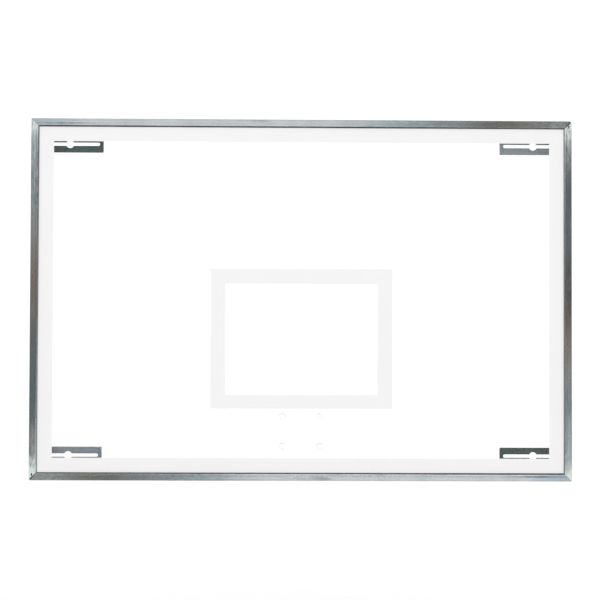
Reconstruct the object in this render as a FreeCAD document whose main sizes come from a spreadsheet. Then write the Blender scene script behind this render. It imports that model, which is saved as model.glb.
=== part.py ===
"""Basketball backboard: a tempered glass pane in a mitred aluminium frame, hung by four corner brackets.

Axes: +X to the right as seen from the court, +Z up, and the court side faces -Y.
The origin is the centre of the four hanging slots, on the rear face of the bracket plates.
Two directions are used throughout: "in" runs from the frame's outer edge towards the board's middle,
and "forward" runs from the rear face of the brackets towards the court.
"""

import FreeCAD
import Part
import Sketcher

import math
import os
from types import SimpleNamespace
from typing import NamedTuple

SIZES = {
    # The whole board, over the frame
    "board_width": 1828.8,
    "board_height": 1219.2,
    # Frame extrusion, across its section
    "outer_wall": 2.5,
    "alignment_chamber": 7.0,
    "pocket_wall": 2.0,
    "inner_wall": 2.5,
    "rear_wall": 2.5,
    "chamber_depth": 18.0,
    "pocket_rear_wall": 2.5,
    "lip_thickness": 3.0,
    "outer_edge_radius": 1.5,
    # Valley and raised bead along the inner half of the frame's face
    "valley_width": 7.0,
    "valley_depth": 0.12,
    "bead_width": 5.0,
    "bead_bevel_run": 1.3,
    "bead_bevel_drop": 0.5,
    # Short slot along one end of each side rail's face
    "pin_slot_length": 9.0,
    "pin_slot_width": 3.0,
    "pin_slot_inward": 10.1,
    "pin_slot_from_end": 19.8,
    # Mitred corners: two gape towards the outer edge, and the two between them are tight
    "open_mitre_outer_setback": 2.8,
    "open_mitre_inner_setback": 0.5,
    "tight_mitre_setback": 0.3,
    "gasket_mitre_setback": 0.2,
    # Glass and the rubber channel around it
    "glass_thickness": 12.7,
    "glass_bite": 9.5,
    "glass_arris": 1.0,
    "glazing_clearance": 0.2,
    "gasket_thickness": 2.5,
    "gasket_overhang": 3.4,
    "gasket_nose": 1.2,
    # White markings fired on the front of the glass
    "film_thickness": 0.1,
    "film_margin": 3.0,
    "border_width": 76.2,
    "target_width": 614.0,
    "target_height": 472.0,
    "target_above_bottom": 242.0,
    "target_line": 50.0,
    "target_base_line": 46.5,
    # Four bushed holes for the hoop, in the clear glass below the target
    "hoop_holes_below_target": 25.4,
    "hoop_hole_across": 127.0,
    "hoop_hole_down": 101.6,
    "sleeve_bore": 13.5,
    "sleeve_wall": 4.0,
    "sleeve_clearance": 0.15,
    # Keys that join the mitred corners
    "key_clearance": 0.2,
    "key_end_margin": 12.0,
    "alignment_leg": 45.0,
    # Corner brackets with their keyhole slots
    "bracket_thickness": 5.0,
    "bracket_inset": 3.5,
    "bracket_outer_radius": 12.0,
    "bracket_free_radius": 3.0,
    "bracket_strip": 22.8,
    "bracket_end_strip": 12.0,
    "slot_in_from_side": 139.7,
    "slot_in_from_top": 81.5,
    "slot_length": 174.0,
    "slot_width": 11.5,
    "keyhole_diameter": 27.0,
    "keyhole_shift": 14.7,
    # Bolts and washers that hold the brackets
    "bolt_diameter": 8.0,
    "bolt_clearance": 0.5,
    "bolt_head_width": 13.0,
    "bolt_head_height": 5.3,
    "bolt_engagement": 13.0,
    "bolt_from_corner": 50.0,
    "bolt_from_free_end": 25.0,
    "thread_clearance": 0.05,
    "washer_diameter": 16.0,
    "washer_thickness": 1.6,
    # How far a cutting sketch runs past the solid that it cuts
    "cut_overrun": 6.0,
}

SKETCH_ORIGIN = (-1, 1)
START_POINT, END_POINT, CENTRE_POINT = range(1, 4)


class Dim:
    """A length, kept both as a number and as the sheet expression that gives it."""

    def __init__(self, value, text):
        self.value = value
        self.text = text

    def __add__(self, other):
        return Dim(self.value + other.value, f"({self.text} + {other.text})")

    def __sub__(self, other):
        return Dim(self.value - other.value, f"({self.text} - {other.text})")

    def __mul__(self, factor):
        return Dim(self.value * factor, f"({self.text} * {factor})")

    def __truediv__(self, divisor):
        return Dim(self.value / divisor, f"({self.text} / {divisor})")

    def __neg__(self):
        return self * -1


doc = FreeCAD.newDocument("backboard")
sheet = doc.addObject("Spreadsheet::Sheet", "sizes")
for row, (size_name, size_value) in enumerate(SIZES.items(), start=1):
    sheet.set(f"A{row}", size_name)
    sheet.set(f"B{row}", str(size_value))
    sheet.setAlias(f"B{row}", size_name)
doc.recompute()
d = SimpleNamespace(**{name: Dim(value, f"sizes.{name}") for name, value in SIZES.items()})
zero = Dim(0.0, "0")

# Distances in from the frame's outer edge
pocket_floor = d.outer_wall + d.alignment_chamber + d.pocket_wall
glass_edge = pocket_floor + d.gasket_thickness + d.glazing_clearance
lip_end = glass_edge + d.glass_bite
sight_line = lip_end + d.gasket_overhang
chamber_end = lip_end - d.inner_wall
chamber_radius = d.key_clearance * 2
bolt_line = (d.outer_wall + chamber_end) / 2
bracket_reach = d.slot_in_from_side + d.slot_length / 2 + d.bracket_end_strip
bracket_drop = d.slot_in_from_top + d.slot_width / 2 + d.bracket_strip
bolt_far_across = bracket_reach - d.bolt_from_free_end
bolt_far_down = bracket_drop - d.bolt_from_free_end

# Distances forward of the brackets' rear face
chamber_rear = d.bracket_thickness + d.rear_wall
chamber_front = chamber_rear + d.chamber_depth
pocket_rear = chamber_front + d.pocket_rear_wall
glass_rear = pocket_rear + d.gasket_thickness + d.glazing_clearance
glass_front = glass_rear + d.glass_thickness
pocket_front = glass_front + d.glazing_clearance + d.gasket_thickness
rail_front = pocket_front + d.lip_thickness
film_rear = glass_front + (d.glazing_clearance - d.film_thickness) / 2

# Heights above the board's middle
target_bottom = d.target_above_bottom - d.board_height / 2
target_top = target_bottom + d.target_height
hoop_holes_top = target_bottom - d.hoop_holes_below_target
sleeve_outside = d.sleeve_bore + d.sleeve_wall * 2
hoop_hole_diameter = sleeve_outside + d.sleeve_clearance * 2


class Edge(NamedTuple):
    """One side of the frame: its length, the size across it, its turn, its far bolts and its two ends.

    open_end is 1 or -1 for the end whose mitre gapes, and slotted tells whether that end's face has a slot.
    """

    name: str
    length: Dim
    across: Dim
    turn: int
    bolt_far: Dim
    open_end: int
    slotted: bool


class Corner(NamedTuple):
    """One corner of the board: side is -1 on the left and 1 on the right, level -1 below and 1 above."""

    name: str
    side: int
    level: int

    def at(self, in_from_side, in_from_end):
        """Place a point by its distances in from the two outer edges that meet at this corner."""
        across = (d.board_width / 2 - in_from_side) * self.side
        return across, (d.board_height / 2 - in_from_end) * self.level

    def bolts(self):
        """Places of this corner's bracket bolts, two along each rail."""
        along_rail = [self.at(place, bolt_line) for place in (d.bolt_from_corner, bolt_far_across)]
        return along_rail + [self.at(bolt_line, place) for place in (d.bolt_from_corner, bolt_far_down)]


EDGES = (
    Edge("bottom", d.board_width, d.board_height, 0, bolt_far_across, -1, False),
    Edge("left", d.board_height, d.board_width, 90, bolt_far_down, 1, True),
    Edge("top", d.board_width, d.board_height, 180, bolt_far_across, -1, False),
    Edge("right", d.board_height, d.board_width, 270, bolt_far_down, 1, True),
)
CORNERS = (
    Corner("top_left", -1, 1),
    Corner("top_right", 1, 1),
    Corner("bottom_left", -1, -1),
    Corner("bottom_right", 1, -1),
)


def new_body(name):
    """Start one sub-part."""
    body = doc.addObject("PartDesign::Body", name)
    body.Label = name
    return body


def new_sketch(body, plane_role, forward=zero):
    """Attach a sketch to one of the body's own planes, moved forward along the plane's normal."""
    sketch = body.newObject("Sketcher::SketchObject", "sketch")
    plane = next(item for item in body.Origin.OriginFeatures if item.Role == plane_role)
    sketch.AttachmentSupport = [(plane, "")]
    sketch.MapMode = "FlatFace"
    sketch.setExpression("AttachmentOffset.Base.z", forward.text)
    return sketch


def front_sketch(body, forward):
    """A sketch seen from the court, with X across and Z up."""
    return new_sketch(body, "XZ_Plane", forward)


def vector(x, y):
    """A point of a sketch."""
    return FreeCAD.Vector(x.value, y.value, 0)


def tie(sketch, kind, size, *places):
    """Add a dimension to a sketch and bind it to the sheet."""
    index = sketch.addConstraint(Sketcher.Constraint(kind, *places, size.value))
    sketch.setExpression(f"Constraints[{index}]", size.text)


def pin(sketch, geometry, point, x, y):
    """Hold one point of a sketch at its distances from the sketch's origin."""
    tie(sketch, "DistanceX", x, *SKETCH_ORIGIN, geometry, point)
    tie(sketch, "DistanceY", y, *SKETCH_ORIGIN, geometry, point)


def sign(size):
    """Direction of a length: -1, 0 or 1."""
    length = round(size.value, 6)
    return (length > 0) - (length < 0)


def rounded_nodes(corners):
    """Split each rounded right-angled corner into the two ends of its arc."""
    nodes = []
    for index, (x, y, *radius) in enumerate(corners):
        if not radius:
            nodes.append((x, y, None, None))
            continue
        before = corners[index - 1]
        after = corners[(index + 1) % len(corners)]
        for neighbour, bend in ((before, radius[0]), (after, None)):
            towards_x = x + radius[0] * sign(neighbour[0] - x)
            towards_y = y + radius[0] * sign(neighbour[1] - y)
            nodes.append((towards_x, towards_y, bend, vector(x, y)))
    return nodes


def corner_arc(start, corner, end, radius):
    """A quarter arc in a right-angled corner, with the numbers of its first and last points."""
    centre = start + end - corner
    angles = [math.atan2(point.y - centre.y, point.x - centre.x) for point in (start, end)]
    circle = Part.Circle(centre, FreeCAD.Vector(0, 0, 1), radius.value)
    if (corner - start).cross(end - corner).z > 0:
        return Part.ArcOfCircle(circle, *angles), START_POINT, END_POINT
    return Part.ArcOfCircle(circle, *reversed(angles)), END_POINT, START_POINT


def draw_loop(sketch, *corners):
    """Draw a closed outline; a corner is (x, y), or (x, y, radius) where a right angle is rounded."""
    nodes = rounded_nodes(corners)
    segments = []
    for index, (x, y, bend, corner) in enumerate(nodes):
        start = vector(x, y)
        end = vector(*nodes[(index + 1) % len(nodes)][:2])
        shape, first, last = Part.LineSegment(start, end), START_POINT, END_POINT
        if bend:
            shape, first, last = corner_arc(start, corner, end, bend)
        segments.append((sketch.addGeometry(shape, False), first, last))
    for index, (geometry, first, last) in enumerate(segments):
        x, y, bend, _ = nodes[index]
        following, following_first, _ = segments[(index + 1) % len(segments)]
        joint = Sketcher.Constraint("Coincident", geometry, last, following, following_first)
        sketch.addConstraint(joint)
        pin(sketch, geometry, first, x, y)
        if bend:
            tie(sketch, "Radius", bend, geometry)


def draw_box(sketch, low, high):
    """Draw a rectangle between two opposite corners."""
    draw_loop(sketch, low, (high[0], low[1]), high, (low[0], high[1]))


def draw_circle(sketch, centre, diameter):
    """Draw a circle tied to its centre and diameter."""
    circle = Part.Circle(vector(*centre), FreeCAD.Vector(0, 0, 1), diameter.value / 2)
    geometry = sketch.addGeometry(circle, False)
    pin(sketch, geometry, CENTRE_POINT, *centre)
    tie(sketch, "Diameter", diameter, geometry)


def draw_slot(sketch, left, right, width):
    """Draw a level slot with round ends about the centres left and right."""
    half = width / 2
    ends = ((left[0], left[1] - half), (right[0], right[1] - half), (right[0], right[1] + half),
            (left[0], left[1] + half))
    below = Part.LineSegment(vector(*ends[0]), vector(*ends[1]))
    above = Part.LineSegment(vector(*ends[2]), vector(*ends[3]))
    normal = FreeCAD.Vector(0, 0, 1)
    right_circle = Part.Circle(vector(*right), normal, half.value)
    left_circle = Part.Circle(vector(*left), normal, half.value)
    right_arc = Part.ArcOfCircle(right_circle, -math.pi / 2, math.pi / 2)
    left_arc = Part.ArcOfCircle(left_circle, math.pi / 2, math.pi * 3 / 2)
    loop = [sketch.addGeometry(shape, False) for shape in (below, right_arc, above, left_arc)]
    for index, geometry in enumerate(loop):
        following = loop[(index + 1) % len(loop)]
        sketch.addConstraint(Sketcher.Constraint("Coincident", geometry, END_POINT, following, START_POINT))
        pin(sketch, geometry, START_POINT, *ends[index])
    tie(sketch, "DistanceX", right[0], *SKETCH_ORIGIN, loop[1], CENTRE_POINT)
    tie(sketch, "DistanceX", left[0], *SKETCH_ORIGIN, loop[3], CENTRE_POINT)


def pad(body, sketch, length, both_ways=False):
    """Raise a sketch along its normal, or half each way."""
    feature = body.newObject("PartDesign::Pad", "pad")
    feature.Profile = sketch
    feature.SideType = "Symmetric" if both_ways else "One side"
    feature.setExpression("Length", length.text)
    sketch.Visibility = False
    return feature


def cut_through(body, sketch):
    """Cut a sketch right through the body."""
    feature = body.newObject("PartDesign::Pocket", "cut")
    feature.Profile = sketch
    feature.SideType = "Symmetric"
    feature.Type = "ThroughAll"
    return feature


def cut_forward(body, sketch, depth):
    """Cut a sketch forward to a depth."""
    feature = body.newObject("PartDesign::Pocket", "cut")
    feature.Profile = sketch
    feature.Reversed = True
    feature.setExpression("Length", depth.text)
    return feature


def section_point(edge, inward, forward, *radius):
    """A point of a bar's section, by its distances in from the outer edge and forward of the brackets."""
    return (-forward, inward - edge.across / 2, *radius)


def cut_mitres(body, edge, open_setbacks, tight_setback, reach):
    """Cut both ends of a bar close to 45 degrees, a little short of the corner's diagonal.

    open_setbacks are the open end's shortfalls where the cut starts outside the bar and where it ends inside.
    """
    sketch = front_sketch(body, zero)
    below = -(edge.across / 2 + d.cut_overrun)
    deep = reach + d.cut_overrun
    rise = deep + d.cut_overrun
    for side in (-1, 1):
        setbacks = open_setbacks if side == edge.open_end else (tight_setback, tight_setback)
        outer_end, inner_end = [edge.length / 2 - setback + d.cut_overrun for setback in setbacks]
        outer = (outer_end * side, below)
        inner = ((inner_end - rise) * side, below + rise)
        draw_loop(sketch, outer, inner, (outer_end * side, below + rise))
    cut_through(body, sketch)


def make_rail(edge):
    """A hollow frame rail with its glazing pocket, two chambers, and a face with valley and bead."""
    body = new_body(f"{edge.name}_rail")
    sketch = new_sketch(body, "YZ_Plane")
    bead_start = lip_end - d.bead_width
    valley_start = bead_start - d.valley_width

    def point(inward, forward, *radius):
        return section_point(edge, inward, forward, *radius)

    draw_loop(
        sketch,
        point(zero, d.bracket_thickness, d.outer_edge_radius),
        point(zero, rail_front, d.outer_edge_radius),
        point(valley_start, rail_front),
        point(valley_start + d.valley_width / 2, rail_front - d.valley_depth),
        point(bead_start, rail_front),
        point(lip_end - d.bead_bevel_run, rail_front),
        point(lip_end, rail_front - d.bead_bevel_drop),
        point(lip_end, pocket_front),
        point(pocket_floor, pocket_front),
        point(pocket_floor, pocket_rear),
        point(lip_end, pocket_rear),
        point(lip_end, d.bracket_thickness, d.outer_edge_radius),
    )
    alignment_end = d.outer_wall + d.alignment_chamber
    for inner_end, rear, front in (
        (alignment_end, pocket_rear, pocket_front),
        (chamber_end, chamber_rear, chamber_front),
    ):
        draw_loop(
            sketch,
            point(d.outer_wall, rear, chamber_radius),
            point(inner_end, rear, chamber_radius),
            point(inner_end, front, chamber_radius),
            point(d.outer_wall, front, chamber_radius),
        )
    pad(body, sketch, edge.length, both_ways=True)
    open_setbacks = (d.open_mitre_outer_setback, d.open_mitre_inner_setback)
    cut_mitres(body, edge, open_setbacks, d.tight_mitre_setback, lip_end)
    holes = front_sketch(body, d.bracket_thickness)
    for side in (-1, 1):
        for place in (d.bolt_from_corner, edge.bolt_far):
            centre = ((edge.length / 2 - place) * side, bolt_line - edge.across / 2)
            draw_circle(holes, centre, d.bolt_diameter + d.bolt_clearance * 2)
    cut_forward(body, holes, d.rear_wall + d.chamber_depth / 2)
    if edge.slotted:
        slot = front_sketch(body, pocket_front)
        from_middle = (edge.length / 2 - d.pin_slot_from_end) * edge.open_end
        half_run = (d.pin_slot_length - d.pin_slot_width) / 2
        height = d.pin_slot_inward - edge.across / 2
        draw_slot(slot, (from_middle - half_run, height), (from_middle + half_run, height), d.pin_slot_width)
        cut_forward(body, slot, d.lip_thickness + d.cut_overrun)
    place_edge(body, edge)


def make_gasket(edge):
    """A rubber channel in the rail's pocket, whose two lips taper off over the glass."""
    body = new_body(f"{edge.name}_gasket")
    sketch = new_sketch(body, "YZ_Plane")
    channel_floor = pocket_floor + d.gasket_thickness
    channel_rear = pocket_rear + d.gasket_thickness
    channel_front = pocket_front - d.gasket_thickness

    def point(inward, forward):
        return section_point(edge, inward, forward)

    draw_loop(
        sketch,
        point(pocket_floor, pocket_rear),
        point(pocket_floor, pocket_front),
        point(lip_end, pocket_front),
        point(sight_line, channel_front + d.gasket_nose),
        point(sight_line, channel_front),
        point(channel_floor, channel_front),
        point(channel_floor, channel_rear),
        point(sight_line, channel_rear),
        point(sight_line, channel_rear - d.gasket_nose),
        point(lip_end, pocket_rear),
    )
    pad(body, sketch, edge.length, both_ways=True)
    setback = d.gasket_mitre_setback
    cut_mitres(body, edge, (setback, setback), setback, sight_line)
    place_edge(body, edge)


def place_edge(body, edge):
    """Turn a bar that was drawn along the bottom to its own side of the board."""
    turn = FreeCAD.Rotation(FreeCAD.Vector(0, 1, 0), edge.turn)
    body.Placement = FreeCAD.Placement(FreeCAD.Vector(0, 0, 0), turn)


def draw_angle(sketch, corner, near, far, leg_across, leg_down):
    """Draw an L that lies along the two rails of a corner."""
    draw_loop(
        sketch,
        corner.at(near, near),
        corner.at(leg_across, near),
        corner.at(leg_across, far),
        corner.at(far, far),
        corner.at(far, leg_down),
        corner.at(near, leg_down),
    )


def make_corner_key(corner):
    """A solid angle in the rear chambers of two rails, tapped for the bracket bolts."""
    body = new_body(f"{corner.name}_corner_key")
    sketch = front_sketch(body, chamber_rear + d.key_clearance)
    near = d.outer_wall + d.key_clearance
    far = chamber_end - d.key_clearance
    leg_across = bolt_far_across + d.key_end_margin
    leg_down = bolt_far_down + d.key_end_margin
    draw_angle(sketch, corner, near, far, leg_across, leg_down)
    pad(body, sketch, d.chamber_depth - d.key_clearance * 2)
    holes = front_sketch(body, chamber_rear)
    for place in corner.bolts():
        draw_circle(holes, place, d.bolt_diameter + d.thread_clearance * 2)
    cut_through(body, holes)


def make_alignment_key(corner):
    """A small angle in the front chambers, which keeps the two faces of a mitre level."""
    body = new_body(f"{corner.name}_alignment_key")
    sketch = front_sketch(body, pocket_rear + d.key_clearance)
    near = d.outer_wall + d.key_clearance
    far = d.outer_wall + d.alignment_chamber - d.key_clearance
    draw_angle(sketch, corner, near, far, d.alignment_leg, d.alignment_leg)
    pad(body, sketch, pocket_front - pocket_rear - d.key_clearance * 2)


def make_bracket(corner):
    """A flat steel corner plate with a keyhole slot, from which the board hangs."""
    body = new_body(f"{corner.name}_bracket")
    plate = front_sketch(body, zero)
    draw_loop(
        plate,
        (*corner.at(d.bracket_inset, d.bracket_inset), d.bracket_outer_radius),
        (*corner.at(bracket_reach, d.bracket_inset), d.bracket_free_radius),
        (*corner.at(bracket_reach, bracket_drop), d.bracket_free_radius),
        (*corner.at(d.bracket_inset, bracket_drop), d.bracket_free_radius),
    )
    pad(body, plate, d.bracket_thickness)
    half_run = (d.slot_length - d.slot_width) / 2
    slot_ends = [corner.at(d.slot_in_from_side + half_run * way, d.slot_in_from_top) for way in (-1, 1)]
    slot_ends.sort(key=lambda end: end[0].value)
    slot = front_sketch(body, zero)
    draw_slot(slot, *slot_ends, d.slot_width)
    cut_through(body, slot)
    holes = front_sketch(body, zero)
    keyhole = corner.at(d.slot_in_from_side - d.keyhole_shift, d.slot_in_from_top)
    draw_circle(holes, keyhole, d.keyhole_diameter)
    for place in corner.bolts():
        draw_circle(holes, place, d.bolt_diameter + d.bolt_clearance * 2)
    cut_through(body, holes)


def make_bracket_bolts(corner):
    """The hexagon bolts that hold one bracket, screwed into the corner key."""
    body = new_body(f"{corner.name}_bracket_bolts")
    under_head = -d.washer_thickness
    heads = front_sketch(body, under_head - d.bolt_head_height)
    half_flat = d.bolt_head_width / 2
    half_point = d.bolt_head_width / math.sqrt(3)
    for x, y in corner.bolts():
        upper = [(x + half_point / 2, y + half_flat), (x - half_point / 2, y + half_flat)]
        lower = [(x - half_point / 2, y - half_flat), (x + half_point / 2, y - half_flat)]
        draw_loop(heads, (x + half_point, y), *upper, (x - half_point, y), *lower)
    pad(body, heads, d.bolt_head_height)
    shanks = front_sketch(body, under_head)
    for place in corner.bolts():
        draw_circle(shanks, place, d.bolt_diameter)
    pad(body, shanks, d.washer_thickness + chamber_rear + d.bolt_engagement)


def make_bracket_washers(corner):
    """The flat washers under one bracket's bolt heads."""
    body = new_body(f"{corner.name}_bracket_washers")
    rings = front_sketch(body, -d.washer_thickness)
    for place in corner.bolts():
        draw_circle(rings, place, d.washer_diameter)
        draw_circle(rings, place, d.bolt_diameter + d.bolt_clearance * 2)
    pad(body, rings, d.washer_thickness)


def hoop_hole_places():
    """Centres of the four hoop holes."""
    rows = (hoop_holes_top, hoop_holes_top - d.hoop_hole_down)
    return [(d.hoop_hole_across / 2 * side, row) for row in rows for side in (-1, 1)]


def make_glass():
    """The tempered pane, drilled for the hoop and with ground edges."""
    body = new_body("glass_pane")
    outline = front_sketch(body, glass_rear)
    half_width = d.board_width / 2 - glass_edge
    half_height = d.board_height / 2 - glass_edge
    draw_box(outline, (-half_width, -half_height), (half_width, half_height))
    pad(body, outline, d.glass_thickness)
    holes = front_sketch(body, glass_rear)
    for place in hoop_hole_places():
        draw_circle(holes, place, hoop_hole_diameter)
    drilled = cut_through(body, holes)
    doc.recompute()
    flat_tolerance = d.film_thickness.value
    rims = [
        f"Edge{number}"
        for number, edge in enumerate(drilled.Shape.Edges, start=1)
        if edge.BoundBox.YLength < flat_tolerance
    ]
    arris = body.newObject("PartDesign::Chamfer", "arris")
    arris.Base = (drilled, rims)
    arris.setExpression("Size", d.glass_arris.text)


def make_border_print():
    """The white band around the glass, which runs out under the gasket."""
    body = new_body("border_print")
    sketch = front_sketch(body, film_rear)
    for inset in (glass_edge + d.film_margin, d.border_width):
        half_width = d.board_width / 2 - inset
        half_height = d.board_height / 2 - inset
        draw_box(sketch, (-half_width, -half_height), (half_width, half_height))
    pad(body, sketch, d.film_thickness)


def make_target_print():
    """The white shooter's rectangle."""
    body = new_body("target_print")
    sketch = front_sketch(body, film_rear)
    half_width = d.target_width / 2
    inner_half = half_width - d.target_line
    inner_bottom = target_bottom + d.target_base_line
    draw_box(sketch, (-half_width, target_bottom), (half_width, target_top))
    draw_box(sketch, (-inner_half, inner_bottom), (inner_half, target_top - d.target_line))
    pad(body, sketch, d.film_thickness)


def make_hoop_sleeves():
    """Four plain bushes that keep the hoop's bolts off the glass."""
    body = new_body("hoop_bolt_sleeves")
    rings = front_sketch(body, glass_rear)
    for place in hoop_hole_places():
        draw_circle(rings, place, sleeve_outside)
        draw_circle(rings, place, d.sleeve_bore)
    pad(body, rings, d.glass_thickness)


def check_document():
    """Stop if any object failed, any cut removed nothing or any sub-part has no sound solid."""
    for item in doc.Objects:
        if {"Invalid", "Error"} & set(item.State):
            raise RuntimeError(f"{item.Label} did not build: {item.State}")
        if item.TypeId == "PartDesign::Pocket" and item.Shape.Volume >= item.BaseFeature.Shape.Volume:
            raise RuntimeError(f"{item.Label} in {item.BaseFeature.Label} cuts nothing")
    bodies = [item for item in doc.Objects if item.TypeId == "PartDesign::Body"]
    for body in bodies:
        if body.Shape.isNull() or not body.Shape.isValid() or not body.Shape.Solids:
            raise RuntimeError(f"{body.Label} has no sound solid")
    return bodies


for frame_edge in EDGES:
    make_rail(frame_edge)
    make_gasket(frame_edge)
for board_corner in CORNERS:
    make_corner_key(board_corner)
    make_alignment_key(board_corner)
    make_bracket(board_corner)
    make_bracket_bolts(board_corner)
    make_bracket_washers(board_corner)
make_glass()
make_border_print()
make_target_print()
make_hoop_sleeves()

doc.recompute()
sub_parts = check_document()
os.makedirs("parts", exist_ok=True)
for sub_part in sub_parts:
    sub_part.Shape.exportStep(f"parts/{sub_part.Label}.step")
    print(sub_part.Label, len(sub_part.Shape.Solids), "solids", round(sub_part.Shape.Volume), "mm3")
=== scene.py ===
"""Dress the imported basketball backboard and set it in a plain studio.

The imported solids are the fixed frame. Rails, rubber, keys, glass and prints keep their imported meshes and
get finishes. Bracket plates get eased edges, and the bolts, washers and bushes get finer meshes in the
same places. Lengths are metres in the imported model's frame: +X right, +Z up, and the court side faces -Y.
"""

import logging
import math
from dataclasses import dataclass, field
from enum import Enum
from typing import Any, ClassVar, Optional, Union

import bmesh
import bpy
from mathutils import Matrix, Vector


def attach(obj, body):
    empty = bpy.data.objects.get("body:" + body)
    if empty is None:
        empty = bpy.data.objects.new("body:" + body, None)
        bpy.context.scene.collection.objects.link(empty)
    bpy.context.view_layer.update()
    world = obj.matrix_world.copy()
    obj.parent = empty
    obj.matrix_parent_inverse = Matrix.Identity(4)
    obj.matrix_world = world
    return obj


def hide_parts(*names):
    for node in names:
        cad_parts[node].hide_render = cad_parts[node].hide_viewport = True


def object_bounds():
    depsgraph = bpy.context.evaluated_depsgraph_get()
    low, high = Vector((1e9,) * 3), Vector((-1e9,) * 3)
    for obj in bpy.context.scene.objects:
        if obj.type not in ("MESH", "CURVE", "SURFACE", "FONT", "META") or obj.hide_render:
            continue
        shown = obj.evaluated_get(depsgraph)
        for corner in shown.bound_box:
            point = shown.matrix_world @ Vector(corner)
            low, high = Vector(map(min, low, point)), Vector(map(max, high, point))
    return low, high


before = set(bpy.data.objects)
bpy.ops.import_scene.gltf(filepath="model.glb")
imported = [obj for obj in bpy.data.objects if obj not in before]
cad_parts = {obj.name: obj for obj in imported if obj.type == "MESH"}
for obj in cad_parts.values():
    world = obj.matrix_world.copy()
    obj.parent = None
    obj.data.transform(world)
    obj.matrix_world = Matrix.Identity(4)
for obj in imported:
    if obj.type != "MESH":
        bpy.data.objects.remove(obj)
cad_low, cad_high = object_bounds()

Triple = tuple[float, float, float]
Plug = Union["Value", bpy.types.NodeSocket, list[bpy.types.NodeSocket], Triple, float, int]
Sockets = dict[Union[str, int], Plug]

log = logging.getLogger("backboard")

MILLIMETRE = 0.001
BODY = "root"
WELD_DISTANCE = 1e-6
SMOOTH_LIMIT = math.radians(35.0)
FLAT_LIMIT = math.radians(1.0)
OPAQUE = 1.0
WHITE: Triple = (1.0, 1.0, 1.0)


def linear(red: int, green: int, blue: int) -> Triple:
    """Turn an 8-bit screen colour into scene-linear light.

    Args:
        red: Red from 0 to 255.
        green: Green from 0 to 255.
        blue: Blue from 0 to 255.

    Returns:
        The same colour in linear numbers.
    """
    def decode(part: int) -> float:
        """Undo the screen's tone curve for one channel."""
        share = part / 255
        return share / 12.92 if share <= 0.04045 else ((share + 0.055) / 1.055) ** 2.4

    return decode(red), decode(green), decode(blue)


def even(repeats: float) -> Triple:
    """Repeat a pattern alike along every axis."""
    return repeats, repeats, repeats


@dataclass(frozen=True)
class Pattern:
    """A random pattern: its repeats in a metre by axis, its seed, its finer octaves and its swing."""

    per_metre: Triple
    seed: float
    detail: float = 2.0
    swing: float = 2.0


class Value:
    """A number that varies over a surface: one socket, whose arithmetic adds Math nodes."""

    def __init__(self, graph: "Graph", socket: bpy.types.NodeSocket) -> None:
        """Wrap a socket of a graph."""
        self.graph = graph
        self.socket = socket

    def _math(self, operation: str, first: Plug, second: Plug = 0.0) -> "Value":
        """Add one Math node.

        Args:
            operation: The node's operation.
            first: The first operand.
            second: The second operand, where the operation has one.

        Returns:
            The node's result.
        """
        node = self.graph.node("ShaderNodeMath", {"operation": operation}, {0: first, 1: second})
        return Value(self.graph, node.outputs[0])

    def __add__(self, other: Plug) -> "Value":
        """Add."""
        return self._math("ADD", self, other)

    def __radd__(self, other: Plug) -> "Value":
        """Add to a plain number."""
        return self._math("ADD", other, self)

    def __sub__(self, other: Plug) -> "Value":
        """Subtract."""
        return self._math("SUBTRACT", self, other)

    def __rsub__(self, other: Plug) -> "Value":
        """Subtract from a plain number."""
        return self._math("SUBTRACT", other, self)

    def __mul__(self, other: Plug) -> "Value":
        """Multiply."""
        return self._math("MULTIPLY", self, other)

    def __rmul__(self, other: Plug) -> "Value":
        """Multiply a plain number."""
        return self._math("MULTIPLY", other, self)

    def __truediv__(self, other: Plug) -> "Value":
        """Divide."""
        return self._math("DIVIDE", self, other)

    def __rtruediv__(self, other: Plug) -> "Value":
        """Divide a plain number."""
        return self._math("DIVIDE", other, self)

    def __abs__(self) -> "Value":
        """Drop the sign."""
        return self._math("ABSOLUTE", self)

    def at_most(self, limit: Plug) -> "Value":
        """Cap the number."""
        return self._math("MINIMUM", self, limit)

    def at_least(self, limit: Plug) -> "Value":
        """Hold the number up."""
        return self._math("MAXIMUM", self, limit)

    def ramp(self, start: float, end: float, low: float = 0.0, high: float = 1.0) -> "Value":
        """Ease from one number to another as this one passes through a range.

        Args:
            start: Where the ease begins.
            end: Where it is complete.
            low: The result at and before the start.
            high: The result at and after the end.

        Returns:
            The eased number.
        """
        node = self.graph.node("ShaderNodeMapRange", {"interpolation_type": "SMOOTHSTEP"}, {
            "Value": self, "From Min": start, "From Max": end, "To Min": low, "To Max": high})
        return Value(self.graph, node.outputs[0])

    def band(self, centre: float, reach: float) -> "Value":
        """Give 1 at a centre that fades to 0 at a distance from it."""
        return abs(self - centre).ramp(0.0, reach, 1.0, 0.0)


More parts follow.
